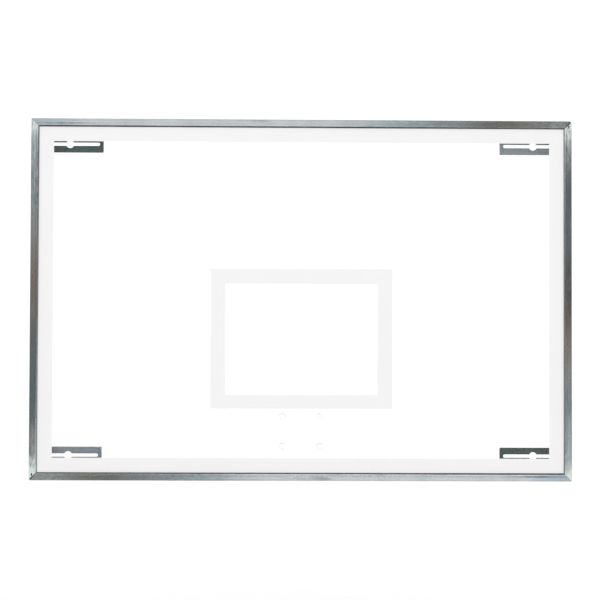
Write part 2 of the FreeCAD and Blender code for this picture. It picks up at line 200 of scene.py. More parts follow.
class Graph:
    """A node tree under construction."""

    MIXED_COLOUR = 2
    MIDDLE = 0.5
    SEED_SHIFT: Triple = (1.0, 1.7, 2.3)

    def __init__(self, tree: bpy.types.NodeTree) -> None:
        """Start on an empty tree."""
        self.tree = tree
        self.tree.nodes.clear()

    def node(self, kind: str, settings: Optional[dict[str, Any]] = None,
             sockets: Optional[Sockets] = None) -> bpy.types.Node:
        """Add one node.

        Args:
            kind: The node's type.
            settings: Properties of the node, set before its sockets.
            sockets: Values or links by the socket's identifier, name or number.

        Returns:
            The new node.
        """
        made = self.tree.nodes.new(kind)
        for key, setting in (settings or {}).items():
            setattr(made, key, setting)
        for key, item in (sockets or {}).items():
            socket = made.inputs[key] if isinstance(key, int) else self.find(made, key)
            for plug in item if isinstance(item, list) else [item]:
                self.plug(socket, plug)
        return made

    @staticmethod
    def find(made: bpy.types.Node, key: str) -> bpy.types.NodeSocket:
        """Find a node's input by its identifier, or else by its name."""
        return next((s for s in made.inputs if s.identifier == key), None) or made.inputs[key]

    def plug(self, socket: bpy.types.NodeSocket, item: Plug) -> None:
        """Link a socket or set its value.

        Args:
            socket: The input.
            item: A value, an output socket or a plain setting.
        """
        if isinstance(item, Value):
            self.tree.links.new(item.socket, socket)
        elif isinstance(item, bpy.types.NodeSocket):
            self.tree.links.new(item, socket)
        elif socket.type == "RGBA":
            socket.default_value = (*item, OPAQUE)
        else:
            socket.default_value = item

    def coordinates(self) -> bpy.types.NodeSocket:
        """Give the place on the object, in metres."""
        return self.node("ShaderNodeTexCoord").outputs["Object"]

    def axes(self) -> tuple[Value, Value, Value]:
        """Give the place on the object as three numbers."""
        parts = self.node("ShaderNodeSeparateXYZ", None, {0: self.coordinates()}).outputs
        return Value(self, parts[0]), Value(self, parts[1]), Value(self, parts[2])

    def stretched(self, pattern: Pattern) -> bpy.types.NodeSocket:
        """Give the place on the object in a pattern's own scale.

        Args:
            pattern: The pattern.

        Returns:
            The mapped place, shifted by the pattern's seed.
        """
        shift = tuple(pattern.seed * part for part in self.SEED_SHIFT)
        return self.node("ShaderNodeMapping", {"vector_type": "POINT"}, {
            "Vector": self.coordinates(), "Scale": pattern.per_metre, "Location": shift}).outputs[0]

    def noise(self, pattern: Pattern) -> Value:
        """Give a soft random pattern.

        Args:
            pattern: The pattern.

        Returns:
            Levels about 0, within about half the pattern's swing.
        """
        node = self.node("ShaderNodeTexNoise", {"noise_dimensions": "3D"}, {
            "Vector": self.stretched(pattern), "Scale": 1.0, "Detail": pattern.detail})
        return (Value(self, node.outputs[0]) - self.MIDDLE) * pattern.swing

    def cells(self, pattern: Pattern) -> Value:
        """Give a pattern of crystals.

        Args:
            pattern: The pattern.

        Returns:
            One level about 0 in each crystal, within half the pattern's swing.
        """
        node = self.node("ShaderNodeTexVoronoi", {"feature": "F1"}, {
            "Vector": self.stretched(pattern), "Scale": 1.0})
        parts = self.node("ShaderNodeSeparateColor", None, {0: node.outputs["Color"]}).outputs
        return (Value(self, parts[0]) - self.MIDDLE) * pattern.swing

    def mix(self, share: Plug, first: Plug, second: Plug) -> bpy.types.NodeSocket:
        """Blend two colours.

        Args:
            share: How much of the second colour shows.
            first: The first colour.
            second: The second colour.

        Returns:
            The blended colour.
        """
        return self.node("ShaderNodeMix", {"data_type": "RGBA", "clamp_factor": True}, {
            "Factor_Float": share, "A_Color": first, "B_Color": second}).outputs[self.MIXED_COLOUR]

    def relief(self, height: Value, depth: float) -> bpy.types.NodeSocket:
        """Tilt the surface by a height pattern.

        Args:
            height: The pattern, about one unit from low to high.
            depth: The real height of one unit.

        Returns:
            The tilted normal.
        """
        return self.node("ShaderNodeBump", None, {
            "Strength": 1.0, "Distance": depth, "Height": height}).outputs[0]


class Run(Enum):
    """The way a drawn or rolled surface runs."""

    ACROSS = "x"
    UPRIGHT = "z"

    def stretch(self, along: float, across: float) -> Triple:
        """Order a pattern's scale along and across the run by axis."""
        return (along, across, across) if self is Run.ACROSS else (across, across, along)


@dataclass(frozen=True)
class DrawnPattern:
    """A pattern that follows a rail: its repeats in a metre along and across it, and its own seed."""

    along: float
    across: float
    seed: float
    detail: float = 2.0
    swing: float = 2.0

    def laid(self, run: Run, rail_seed: float) -> Pattern:
        """Lay the pattern along one rail."""
        return Pattern(run.stretch(self.along, self.across), rail_seed + self.seed, self.detail, self.swing)


@dataclass(frozen=True)
class Finish:
    """How one kind of surface looks.

    In the finishes a field that ends in _tone weighs a pattern in the colour, one that ends in _dulling
    weighs it in the roughness, and one that ends in _relief weighs it in the height.
    """

    name: str
    OWN: ClassVar[str] = "made_here"

    def material(self) -> bpy.types.Material:
        """Make the finish's material, or give the one already made.

        Returns:
            The material.
        """
        made = bpy.data.materials.get(self.name)
        if made is None or not made.get(self.OWN):
            made = bpy.data.materials.new(self.name)
            made[self.OWN] = True
            made.use_nodes = True
            graph = Graph(made.node_tree)
            shader = graph.node("ShaderNodeBsdfPrincipled", None, self.surface(graph))
            graph.node("ShaderNodeOutputMaterial", None, {"Surface": shader.outputs[0]})
        return made

    def surface(self, graph: Graph) -> Sockets:
        """Give the shader's sockets.

        Args:
            graph: The material's node tree.

        Returns:
            Values and links for the principled shader.
        """
        raise NotImplementedError


@dataclass(frozen=True)
class TarnishAndReflection:
    """A tinted stretch of a rail, partly tarnish and partly a painted reflection patch: its middle and reach
    along the rail, its colour and its strength.

    A line gives the distance in from the rail's outer edge where the stretch is only a narrow streak.
    """

    middle: float
    reach: float
    colour: Triple
    strength: float
    line: Optional[float] = None
    line_reach: float = 0.0035

    def share(self, along: Value, inward: Value) -> Value:
        """Give the stretch's strength at a place on the rail."""
        share = along.band(self.middle, self.reach) * self.strength
        return share if self.line is None else share * inward.band(self.line, self.line_reach)


@dataclass(frozen=True)
class EndHighlight:
    """A painted highlight at a rail end: which way it lies along the rail, how far it reaches and its
    strength.
    """

    way: float
    reach: float
    strength: float


@dataclass(frozen=True)
class DrawnAluminium(Finish):
    """Mill-finish extrusion: drawn lines along its length, dull stains, tinted stretches that are partly
    tarnish and partly painted reflection, bright crests that are partly wear and partly painted highlight,
    and painted highlights at the rail ends.

    Opposite rails carry the same marks turned round: the sense says which way the rail's own length runs,
    and the open way which of its ends has the mitre that gapes.
    """

    run: Run
    sense: float
    half_span: float
    half_length: float
    tarnish_and_reflection: tuple[TarnishAndReflection, ...]
    end_highlights: tuple[EndHighlight, ...]
    open_way: float
    slotted: bool
    seed: float
    slow: DrawnPattern = DrawnPattern(1.3, 5.0, 0.0)
    streaks: DrawnPattern = DrawnPattern(0.7, 150.0, 4.6)
    hairs: DrawnPattern = DrawnPattern(2.0, 900.0, 1.9)
    flecks: DrawnPattern = DrawnPattern(45.0, 190.0, 6.4)
    bands: DrawnPattern = DrawnPattern(14.0, 2.0, 3.1)
    stains: DrawnPattern = DrawnPattern(7.0, 40.0, 5.3, 3.0, 1.0)
    stain_start: float = 0.07
    stain_full: float = 0.25
    dull: Triple = linear(152, 158, 161)
    # Colour of the painted highlights at the rail ends.
    bright: Triple = linear(223, 228, 230)
    end_highlight: Triple = linear(232, 241, 237)
    # Dark colour of the grime and painted shade at the open mitre, also used for the darkening round the
    # short slot.
    dark_mark: Triple = linear(52, 54, 52)
    tone: float = 0.45
    slow_tone: float = 0.3
    band_tone: float = 0.2
    streak_tone: float = 0.2
    hair_tone: float = 0.1
    fleck_tone: float = 0.1
    stain_tone: float = -0.25
    # Weight of the brighter crests: partly edge wear, partly painted highlight.
    crest_wear_and_highlight_tone: float = 0.3
    streak_highlight: float = 0.5
    fleck_highlight: float = 1.5
    fleck_tarnish_and_reflection: float = 1.8
    highlight_metal_loss: float = 0.7
    roughness: float = 0.24
    stain_dulling: float = 0.1
    streak_dulling: float = -0.05
    highlight_dulling: float = 0.2
    line_depth: float = 0.00004
    hair_relief: float = 0.6
    streak_relief: float = 0.4
    bead_crest: float = 0.0215
    bead_crest_reach: float = 0.0016
    outer_crest: float = 0.0006
    outer_crest_reach: float = 0.0012
    joint_shade_full: float = 0.0022
    joint_shade_end: float = 0.0045
    joint_shade_strength: float = 0.7
    joint_thick_to: float = 0.008
    joint_thin_from: float = 0.024
    joint_thin_share: float = 0.4
    slot_from_end: float = 0.0198
    slot_inward: float = 0.0101
    slot_half_run: float = 0.003
    slot_darkening_reach: float = 0.0028

    def joint_grime_and_shade(self, along: Value, inward: Value) -> Value:
        """Give the grime and painted shade beside the mitre that gapes, thicker towards the outer edge.

        Args:
            along: The place along the rail.
            inward: The distance in from the rail's outer edge.

        Returns:
            The strength of the grime and painted shade.
        """
        # Painted shade and grime beside the gaping mitre, thicker where the gap opens towards the outer
        # edge.
        from_joint = self.half_length - along * self.open_way - inward
        beside = from_joint.ramp(
            self.joint_shade_full, self.joint_shade_end, self.joint_shade_strength, 0.0)
        return beside * inward.ramp(self.joint_thick_to, self.joint_thin_from, 1.0, self.joint_thin_share)

    def slot_darkening(self, along: Value, inward: Value) -> Plug:
        """Give 1 in and round the short slot.

        Args:
            along: The place along the rail.
            inward: The distance in from the rail's outer edge.

        Returns:
            How strongly the rail is darkened there.
        """
        if not self.slotted:
            return 0.0
        # Darker in and round the short slot.
        down = (abs(along + (self.half_length - self.slot_from_end)) - self.slot_half_run).at_least(0.0)
        across = inward - self.slot_inward
        return (down * down + across * across).ramp(0.0, self.slot_darkening_reach ** 2, 1.0, 0.0)

    def surface(self, graph: Graph) -> Sockets:
        """Give the shader's sockets.

        Args:
            graph: The material's node tree.

        Returns:
            Values and links for the principled shader.
        """
        x, _, z = graph.axes()
        along = (x if self.run is Run.ACROSS else z) * self.sense
        inward = self.half_span - abs(z if self.run is Run.ACROSS else x)
        slow, streaks, hairs, flecks, bands, stains = (
            graph.noise(pattern.laid(self.run, self.seed))
            for pattern in (self.slow, self.streaks, self.hairs, self.flecks, self.bands, self.stains))
        stained = stains.ramp(self.stain_start, self.stain_full)
        # Brighter along the bead crest and the outer crest: partly edge wear, partly a painted highlight of
        # the bevels.
        bead = inward.band(self.bead_crest, self.bead_crest_reach)
        crest_wear_and_highlight = bead + inward.band(self.outer_crest, self.outer_crest_reach)
        # Painted highlights at the rail ends: a bright, less metallic colour stands in for the glints near
        # the corners.
        end_glints: Plug = 0.0
        for end in self.end_highlights:
            near = (along * end.way).ramp(self.half_length - end.reach, self.half_length, 0.0, end.strength)
            end_glints = near * (1.0 + self.streak_highlight * streaks + self.fleck_highlight * flecks).at_least(0.0) + end_glints
        end_highlight = end_glints.at_most(1.0)
        grain = self.streak_tone * streaks + self.hair_tone * hairs + self.fleck_tone * flecks
        clean = self.tone + self.slow_tone * slow + self.band_tone * bands + grain
        tone = clean + self.stain_tone * stained + self.crest_wear_and_highlight_tone * crest_wear_and_highlight
        colour = graph.mix(tone, self.dull, self.bright)
        # Tinted stretches: tarnish together with painted reflection patches, light and dark along the rail.
        for patch in self.tarnish_and_reflection:
            share = patch.share(along, inward) * (1.0 + streaks + self.fleck_tarnish_and_reflection * flecks)
            colour = graph.mix(share, colour, patch.colour)
        darkening = self.joint_grime_and_shade(along, inward) + self.slot_darkening(along, inward)
        roughness = self.roughness + self.stain_dulling * stained + self.streak_dulling * streaks
        lines = self.hair_relief * hairs + self.streak_relief * streaks
        return {
            "Base Color": graph.mix(darkening, graph.mix(end_highlight, colour, self.end_highlight), self.dark_mark),
            "Metallic": 1.0 - self.highlight_metal_loss * end_highlight,
            "Roughness": roughness + self.highlight_dulling * end_highlight,
            "Normal": graph.relief(lines, self.line_depth),
        }


@dataclass(frozen=True)
class CastAluminium(Finish):
    """Cast corner keys: an even grey darkened as grime and painted shade of the mitre gaps, with a fine
    sandy grain.
    """

    grain: Pattern = Pattern(even(900.0), 2.2, 3.0)
    cloud: Pattern = Pattern(even(35.0), 8.4)
    # Darkened colours: grime and painted shade for the keys seen in the mitre gaps.
    grimy_shaded_grey: Triple = linear(122, 123, 123)
    grimy_shaded_pit: Triple = linear(82, 83, 83)
    tone: float = 0.5
    grain_tone: float = 0.6
    cloud_tone: float = 0.4
    roughness: float = 0.48
    grain_dulling: float = -0.1
    grain_depth: float = 0.0002

    def surface(self, graph: Graph) -> Sockets:
        """Give the shader's sockets.

        Args:
            graph: The material's node tree.

        Returns:
            Values and links for the principled shader.
        """
        grain, cloud = graph.noise(self.grain), graph.noise(self.cloud)
        tone = self.tone + self.grain_tone * grain + self.cloud_tone * cloud
        return {
            "Base Color": graph.mix(tone, self.grimy_shaded_pit, self.grimy_shaded_grey),
            "Metallic": 1.0,
            "Roughness": self.roughness + self.grain_dulling * grain,
            "Normal": graph.relief(grain, self.grain_depth),
        }


@dataclass(frozen=True)
class RolledZincSteel(Finish):
    """Zinc-coated rolled plate: crystal spangle, rolling lines, and painted light and shade on the face
    towards the glass.
    """

    painted_face_deep: Triple
    painted_face_pale: Triple
    face_metallic: float = 0.48
    face_front: float = -0.0049
    face_rear: float = -0.0044
    spangle: Pattern = Pattern(even(110.0), 4.6, swing=1.0)
    lines: Pattern = Pattern((3.0, 60.0, 260.0), 6.1)
    cloud: Pattern = Pattern((9.0, 9.0, 22.0), 2.9, 3.0)
    deep: Triple = linear(134, 142, 146)
    pale: Triple = linear(190, 197, 200)
    tone: float = 0.5
    spangle_tone: float = 0.3
    line_tone: float = 0.45
    cloud_tone: float = 0.55
    metallic: float = 0.85
    roughness: float = 0.46
    spangle_dulling: float = 0.12
    cloud_dulling: float = -0.08
    line_depth: float = 0.00004
    spangle_relief: float = 0.5

    def surface(self, graph: Graph) -> Sockets:
        """Give the shader's sockets.

        Args:
            graph: The material's node tree.

        Returns:
            Values and links for the principled shader.
        """
        spangle, lines, cloud = graph.cells(self.spangle), graph.noise(self.lines), graph.noise(self.cloud)
        tone = self.tone + self.spangle_tone * spangle + self.line_tone * lines + self.cloud_tone * cloud
        # The face towards the glass takes its plate's colour of painted light and shade.
        face = graph.axes()[1].ramp(self.face_front, self.face_rear, 1.0, 0.0)
        painted_face_colour = graph.mix(tone, self.painted_face_deep, self.painted_face_pale)
        return {
            "Base Color": graph.mix(face, graph.mix(tone, self.deep, self.pale), painted_face_colour),
            "Metallic": self.metallic + (self.face_metallic - self.metallic) * face,
            "Roughness": self.roughness + self.spangle_dulling * spangle + self.cloud_dulling * cloud,
            "Normal": graph.relief(lines + self.spangle_relief * spangle, self.line_depth),
        }


@dataclass(frozen=True)
class BrightZinc(Finish):
    """Bright plated fasteners: clean grey with a faint blue and straw bloom."""

    bloom: Pattern = Pattern(even(70.0), 9.3, swing=3.0)
    grain: Pattern = Pattern(even(1400.0), 3.8)
    cool: Triple = linear(196, 202, 210)
    warm: Triple = linear(206, 201, 186)
    tone: float = 0.5
    roughness: float = 0.3
    bloom_dulling: float = 0.12
    grain_dulling: float = 0.08
    grain_depth: float = 0.00005

    def surface(self, graph: Graph) -> Sockets:
        """Give the shader's sockets.

        Args:
            graph: The material's node tree.

        Returns:
            Values and links for the principled shader.
        """
        bloom, grain = graph.noise(self.bloom), graph.noise(self.grain)
        return {
            "Base Color": graph.mix(self.tone + bloom, self.cool, self.warm),
            "Metallic": 1.0,
            "Roughness": self.roughness + self.bloom_dulling * bloom + self.grain_dulling * grain,
            "Normal": graph.relief(grain, self.grain_depth),
        }


@dataclass(frozen=True)
class TemperedGlass(Finish):
    """Clear tempered pane: slight roller wave, faint wipe marks and a trace of green."""

    wipes: Pattern = Pattern((14.0, 14.0, 3.0), 5.7, 3.0, 1.0)
    wipe_start: float = 0.08
    wipe_full: float = 0.3
    wave: Pattern = Pattern((1.2, 1.2, 5.0), 8.8, 1.0, 1.0)
    tint: Triple = (0.996, 1.0, 0.998)
    smear: Triple = (0.982, 0.990, 0.987)
    wipe_dulling: float = 0.02
    refraction: float = 1.5
    wave_depth: float = 0.0004

    def surface(self, graph: Graph) -> Sockets:
        """Give the shader's sockets.

        Args:
            graph: The material's node tree.

        Returns:
            Values and links for the principled shader.
        """
        wiped = graph.noise(self.wipes).ramp(self.wipe_start, self.wipe_full)
        return {
            "Base Color": graph.mix(wiped, self.tint, self.smear),
            "Roughness": self.wipe_dulling * wiped,
            "IOR": self.refraction,
            "Transmission Weight": 1.0,
            "Normal": graph.relief(graph.noise(self.wave), self.wave_depth),
        }


@dataclass(frozen=True)
class FiredInk(Finish):
    """White ink fired on the glass: near flat, with a fine screen grain."""

    grain: Pattern = Pattern(even(1100.0), 1.2, 1.0)
    cloud: Pattern = Pattern(even(7.0), 6.6)
    full: Triple = (0.915, 0.902, 0.908)
    thin: Triple = (0.880, 0.868, 0.874)
    tone: float = 0.4
    grain_tone: float = 0.3
    cloud_tone: float = 0.4
    roughness: float = 0.5
    grain_dulling: float = 0.08
    reflection: float = 0.3
    grain_depth: float = 0.00002

    def surface(self, graph: Graph) -> Sockets:
        """Give the shader's sockets.

        Args:
            graph: The material's node tree.

        Returns:
            Values and links for the principled shader.
        """
        grain, cloud = graph.noise(self.grain), graph.noise(self.cloud)
        tone = self.tone + self.grain_tone * grain + self.cloud_tone * cloud
        return {
            "Base Color": graph.mix(tone, self.full, self.thin),
            "Roughness": self.roughness + self.grain_dulling * grain,
            "Specular IOR Level": self.reflection,
            "Normal": graph.relief(grain, self.grain_depth),
        }


@dataclass(frozen=True)
class GlazingRubber(Finish):
    """Black glazing rubber: matt, with pale dust in its grain."""

    dusting: float = 0.2
    grain: Pattern = Pattern(even(700.0), 4.9, 3.0)
    cloud: Pattern = Pattern(even(12.0), 7.2, 3.0)
    black: Triple = linear(46, 46, 45)
    dust: Triple = linear(143, 148, 148)
    grain_tone: float = 0.25
    cloud_tone: float = 0.3
    roughness: float = 0.62
    cloud_dulling: float = 0.15
    grain_depth: float = 0.0001

    def surface(self, graph: Graph) -> Sockets:
        """Give the shader's sockets.

        Args:
            graph: The material's node tree.

        Returns:
            Values and links for the principled shader.
        """
        grain, cloud = graph.noise(self.grain), graph.noise(self.cloud)
        dusted = self.dusting + self.grain_tone * grain + self.cloud_tone * cloud
        return {
            "Base Color": graph.mix(dusted, self.black, self.dust),
            "Roughness": self.roughness + self.cloud_dulling * cloud,
            "Normal": graph.relief(grain, self.grain_depth),
        }


@dataclass(frozen=True)
class TurnedNylon(Finish):
    """White nylon bushes, with tool rings round the bore."""

    rings: Pattern = Pattern((40.0, 2600.0, 40.0), 5.1, 1.0)
    cloud: Pattern = Pattern(even(90.0), 3.3)
    white: Triple = (0.985, 0.99, 0.988)
    shade: Triple = (0.955, 0.962, 0.96)
    tone: float = 0.3
    ring_tone: float = 0.3
    cloud_tone: float = 0.4
    roughness: float = 0.45
    ring_dulling: float = 0.1
    ring_depth: float = 0.00001

    def surface(self, graph: Graph) -> Sockets:
        """Give the shader's sockets.

        Args:
            graph: The material's node tree.

        Returns:
            Values and links for the principled shader.
        """
        rings, cloud = graph.noise(self.rings), graph.noise(self.cloud)
        tone = self.tone + self.ring_tone * rings + self.cloud_tone * cloud
        return {
            "Base Color": graph.mix(tone, self.white, self.shade),
            "Roughness": self.roughness + self.ring_dulling * rings,
            "Normal": graph.relief(rings, self.ring_depth),
        }


@dataclass(frozen=True)
class Solid:
    """The box round one loose solid of a node."""

    low: Vector
    high: Vector

    @property
    def centre(self) -> Vector:
        """The box's middle."""
        return (self.low + self.high) / 2

    @property
    def size(self) -> Vector:
        """The box's sides."""
        return self.high - self.low


def welded(node: str) -> bmesh.types.BMesh:
    """Copy a node's mesh with its triangles joined.

    Args:
        node: The node's name.

    Returns:
        The copy, for the caller to free.
    """
    copy = bmesh.new()
    copy.from_mesh(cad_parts[node].data)
    bmesh.ops.remove_doubles(copy, verts=copy.verts, dist=WELD_DISTANCE)
    return copy


def solids_of(node: str) -> list[Solid]:
    """Measure each loose solid of a node.

    Args:
        node: The node's name.

    Returns:
        One box for each solid, in the mesh's order.
    """
    copy = welded(node)
    waiting = dict.fromkeys(copy.verts)
    found = []
    while waiting:
        front = [next(iter(waiting))]
        points = []
        while front:
            vertex = front.pop()
            if vertex in waiting:
                del waiting[vertex]
                points.append(vertex.co.copy())
                front.extend(edge.other_vert(vertex) for edge in vertex.link_edges)
        found.append(Solid(Vector(map(min, *points)), Vector(map(max, *points))))
    copy.free()
    return found


def dress(node: str, finish: Finish) -> None:
    """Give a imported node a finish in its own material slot."""
    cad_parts[node].material_slots[0].material = finish.material()
    log.info("dressed %s in %s", node, finish.name)


def new_object(name: str, data: bpy.types.ID) -> bpy.types.Object:
    """Put a mesh, a lamp or a camera in the scene.

    Args:
        name: The object's name.
        data: What the object shows.

    Returns:
        The object, at the origin.
    """
    made = bpy.data.objects.new(name, data)
    bpy.context.scene.collection.objects.link(made)
    return made


def hand_over(piece: bpy.types.Object, slot: str, *nodes: str) -> None:
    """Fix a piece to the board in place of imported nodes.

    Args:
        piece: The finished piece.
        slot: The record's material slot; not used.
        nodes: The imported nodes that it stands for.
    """
    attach(piece, BODY)
    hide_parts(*nodes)
    log.info("made %s with %d faces", piece.name, len(piece.data.polygons))


class PointForm:
    """A Geometry Nodes tree that sets one turned or cut shape on points."""

    TO_REAR = -math.pi / 2

    def __init__(self, name: str, sizes: tuple[str, ...]) -> None:
        """Open a tree with named sizes.

        Args:
            name: The tree's name.
            sizes: The names of its lengths.
        """
        self.tree = bpy.data.node_groups.new(name, "GeometryNodeTree")
        self.graph = Graph(self.tree)
        self.tree.interface.new_socket("Shapes", in_out="OUTPUT", socket_type="NodeSocketGeometry")
        self.opened("Places", "NodeSocketGeometry")
        self.keys = {size: self.opened(size, "NodeSocketFloat") for size in sizes}
        self.finish_key = self.opened("Finish", "NodeSocketMaterial")
        self.entry = self.graph.node("NodeGroupInput")

    def opened(self, name: str, kind: str) -> str:
        """Open a named input of the tree and give its identifier."""
        return self.tree.interface.new_socket(name, in_out="INPUT", socket_type=kind).identifier

    def length(self, name: str) -> Value:
        """Give one of the named lengths."""
        return Value(self.graph, self.entry.outputs[name])

    def vector(self, x: Plug = 0.0, y: Plug = 0.0, z: Plug = 0.0) -> bpy.types.NodeSocket:
        """Join three numbers into a vector."""
        return self.graph.node("ShaderNodeCombineXYZ", None, {0: x, 1: y, 2: z}).outputs[0]

    def lifted(self, shape: bpy.types.NodeSocket, height: Plug) -> bpy.types.NodeSocket:
        """Move a shape along its axis."""
        return self.graph.node("GeometryNodeTransform", None, {
            "Geometry": shape, "Translation": self.vector(z=height)}).outputs[0]

    def rod(self, radius: Plug, depth: Plug, sides: int, middle: Plug) -> bpy.types.NodeSocket:
        """Make a round or many-sided rod along the axis.

        Args:
            radius: The radius at its corners.
            depth: Its length.
            sides: How many sides it has.
            middle: The height of its middle.

        Returns:
            The rod's mesh.
        """
        rod = self.graph.node("GeometryNodeMeshCylinder", {"fill_type": "NGON"}, {
            "Vertices": sides, "Radius": radius, "Depth": depth}).outputs["Mesh"]
        return self.lifted(rod, middle)

    def combined(self, operation: str, *shapes: bpy.types.NodeSocket) -> bpy.types.NodeSocket:
        """Join or intersect closed shapes."""
        return self.graph.node("GeometryNodeMeshBoolean", {"operation": operation, "solver": "EXACT"}, {
            "Mesh 2": list(shapes)}).outputs["Mesh"]

    def close(self, shape: bpy.types.NodeSocket, spin: Plug) -> None:
        """Set the shape on every point with its axis to the rear, and end the tree.

        Args:
            shape: The shape along +Z, with the point at its origin.
            spin: The turn about its own axis.
        """
        placed = self.graph.node("GeometryNodeInstanceOnPoints", None, {
            "Points": self.entry.outputs["Places"], "Instance": shape,
            "Rotation": self.vector(self.TO_REAR, spin)})
        real = self.graph.node("GeometryNodeRealizeInstances", None, {0: placed.outputs[0]})
        dressed = self.graph.node("GeometryNodeSetMaterial", None, {
            "Geometry": real.outputs[0], "Material": self.entry.outputs["Finish"]})
        self.graph.node("NodeGroupOutput", None, {0: dressed.outputs[0]})

    def piece(self, name: str, places: list[Vector], sizes: dict[str, float],
              finish: Finish) -> bpy.types.Object:
        """Run the tree and keep its result as one plain mesh.

        Args:
            name: The piece's name.
            places: Where the shape is set.
            sizes: The named lengths.
            finish: The finish of every shape.

        Returns:
            The piece, with its place in its mesh.
        """
        points = bpy.data.meshes.new(name + "_places")
        points.from_pydata([tuple(place) for place in places], [], [])
        made = new_object(name, points)
        modifier = made.modifiers.new("form", "NODES")
        modifier.node_group = self.tree
        for size, key in self.keys.items():
            modifier[key] = sizes[size]
        modifier[self.finish_key] = finish.material()
        solid = bpy.data.meshes.new_from_object(made.evaluated_get(bpy.context.evaluated_depsgraph_get()))
        made.modifiers.remove(modifier)
        made.data = solid
        solid.name = name
        solid.shade_smooth()
        solid.set_sharp_from_angle(angle=SMOOTH_LIMIT)
        return made


class HexBoltForm(PointForm):
    """Hexagon bolts: a chamfered head with a washer face, on a plain shank."""

    HEXAGON = 6
    ROUND = 40
    FLATS_TO_RADIUS = math.sqrt(3.0)
    CHAMFER_FLAT = 0.475
    CHAMFER_SLOPE = math.sqrt(3.0)
    FACE_SHARE = 0.48
    FACE_HEIGHT = 0.4 * MILLIMETRE
    OVERLAP = 0.2 * MILLIMETRE
    SEED = 11

    def __init__(self) -> None:
        """Build the tree."""
        super().__init__("hexagon_bolts", ("Across flats", "Head height", "Shank diameter", "Shank length"))
        flats, head = self.length("Across flats"), self.length("Head height")
        shank, reach = self.length("Shank diameter"), self.length("Shank length")
        prism_height = head - self.FACE_HEIGHT
        prism_middle = self.FACE_HEIGHT + prism_height / 2
        prism = self.rod(flats / self.FLATS_TO_RADIUS, prism_height, self.HEXAGON, prism_middle)
        top_radius = flats * self.CHAMFER_FLAT
        cone = self.graph.node("GeometryNodeMeshCone", {"fill_type": "NGON"}, {
            "Vertices": self.ROUND, "Radius Top": top_radius,
            "Radius Bottom": top_radius + head * self.CHAMFER_SLOPE, "Depth": head}).outputs["Mesh"]
        crown = self.combined("INTERSECT", prism, cone)
        face_depth = self.FACE_HEIGHT + self.OVERLAP
        face = self.rod(flats * self.FACE_SHARE, face_depth, self.ROUND, face_depth / 2)
        stem_depth = reach + self.OVERLAP
        stem = self.rod(shank / 2, stem_depth, self.ROUND, self.OVERLAP - stem_depth / 2)
        spin = self.graph.node("FunctionNodeRandomValue", {"data_type": "FLOAT"}, {
            "Min_001": 0.0, "Max_001": 2 * math.pi, "Seed": self.SEED}).outputs[1]
        self.close(self.combined("UNION", crown, face, stem), spin)


class RingForm(PointForm):
    """Washers and bushes: a ring of rounded section."""

    ROUND = 64
    ROUNDING_STEPS = 4

    def __init__(self) -> None:
        """Build the tree."""
        super().__init__("rounded_rings", ("Outer diameter", "Bore", "Length", "Edge radius"))
        outer, bore, depth = self.length("Outer diameter"), self.length("Bore"), self.length("Length")
        path = self.graph.node("GeometryNodeCurvePrimitiveCircle", {"mode": "RADIUS"}, {
            "Resolution": self.ROUND, "Radius": (outer + bore) / 4}).outputs["Curve"]
        section = self.graph.node("GeometryNodeCurvePrimitiveQuadrilateral", {"mode": "RECTANGLE"}, {
            "Width": (outer - bore) / 2, "Height": depth}).outputs["Curve"]
        rounded = self.graph.node("GeometryNodeFilletCurve", {"mode": "POLY"}, {
            "Curve": section, "Radius": self.length("Edge radius"),
            "Count": self.ROUNDING_STEPS}).outputs[0]
        ring = self.graph.node("GeometryNodeCurveToMesh", None, {
            "Curve": path, "Profile Curve": rounded}).outputs["Mesh"]
        self.close(ring, 0.0)


